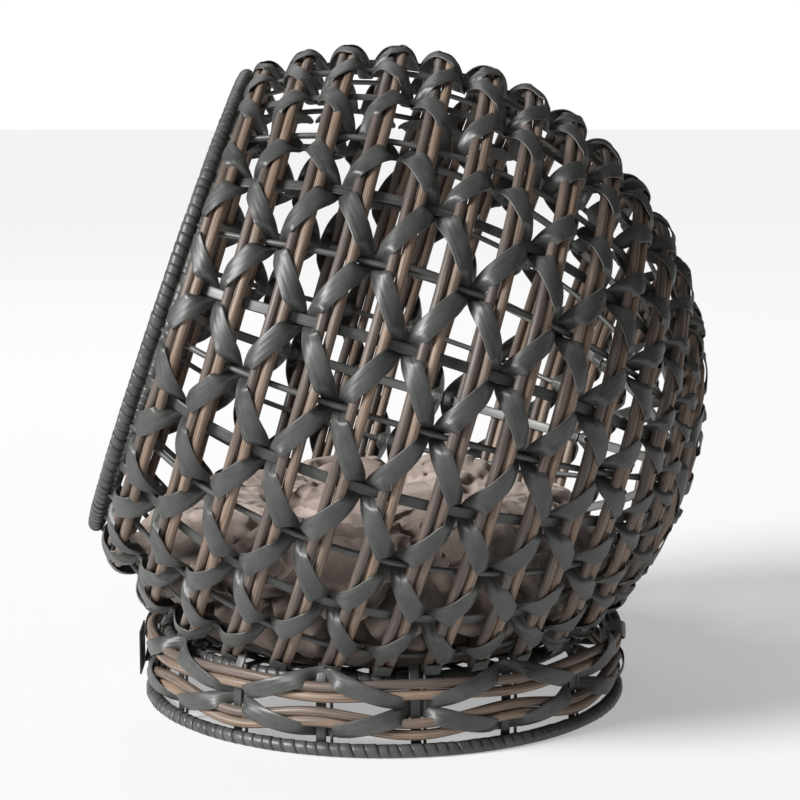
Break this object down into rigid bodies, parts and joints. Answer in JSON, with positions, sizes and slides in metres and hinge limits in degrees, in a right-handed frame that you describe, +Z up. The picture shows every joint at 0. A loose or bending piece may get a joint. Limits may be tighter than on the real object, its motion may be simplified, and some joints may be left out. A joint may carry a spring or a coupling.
{
  "type": "pet bed basket",
  "caption": "Ball-shaped wicker cat bed on a low round base: paired brown canes lashed with flat dark strand over thin spokes, with a wound round mouth and a loose taupe velvet cushion.",
  "frame": {"origin": "middle of the object's box, on the ground", "axes": "+Z up; -X is the front, where the mouth faces; the ball's two sides, +Y and -Y, are mirror images, and the base's uprights are not"},
  "size_m": [0.4624, 0.4918, 0.488],
  "materials": {
    "cane": "streaked brown, satin",
    "strand": "dark grey flat strand, satin, ribbed lengthwise",
    "rod": "dark grey round rod, satin",
    "tag": "woven black",
    "velvet": "crushed taupe velvet"
  },
  "bodies": {
    "basket": {"rim_hoop": "rod", "rim_wrap": "strand", "cane_pair_01": "cane", "cane_pair_02": "cane", "cane_pair_03": "cane", "cane_pair_04": "cane", "cane_pair_05": "cane", "cane_pair_06": "cane", "cane_pair_07": "cane", "cane_pair_08": "cane", "cane_pair_09": "cane", "cane_pair_10": "cane", "cane_pair_11": "cane", "cane_pair_12": "cane", "cane_pair_13": "cane", "cane_pair_14": "cane", "cane_pair_15": "cane", "lashing_01": "strand", "lashing_02": "strand", "lashing_03": "strand", "lashing_04": "strand", "lashing_05": "strand", "lashing_06": "strand", "lashing_07": "strand", "lashing_08": "strand", "lashing_09": "strand", "lashing_10": "strand", "lashing_11": "strand", "lashing_12": "strand", "lashing_13": "strand", "lashing_14": "strand", "lashing_15": "strand", "spoke_rods": "rod", "spoke_strips": "strand", "hub_ring": "rod", "floor_hoop": "rod", "floor_slats": "strand", "floor_rods": "rod", "base_ring": "rod", "base_wrap": "strand", "base_upper_canes": "cane", "base_lower_canes": "cane", "base_uprights": "strand", "base_wires": "rod", "base_upper_lashing": "strand", "base_lower_lashing": "strand", "tag": "tag"},
    "cushion": {"cushion": "velvet"}
  },
  "joints": [
    {"name": "cushion_lift", "type": "slide", "parent": "basket", "child": "cushion", "axis": [0, 0, 1], "range_m": [0, 0.12]}
  ]
}
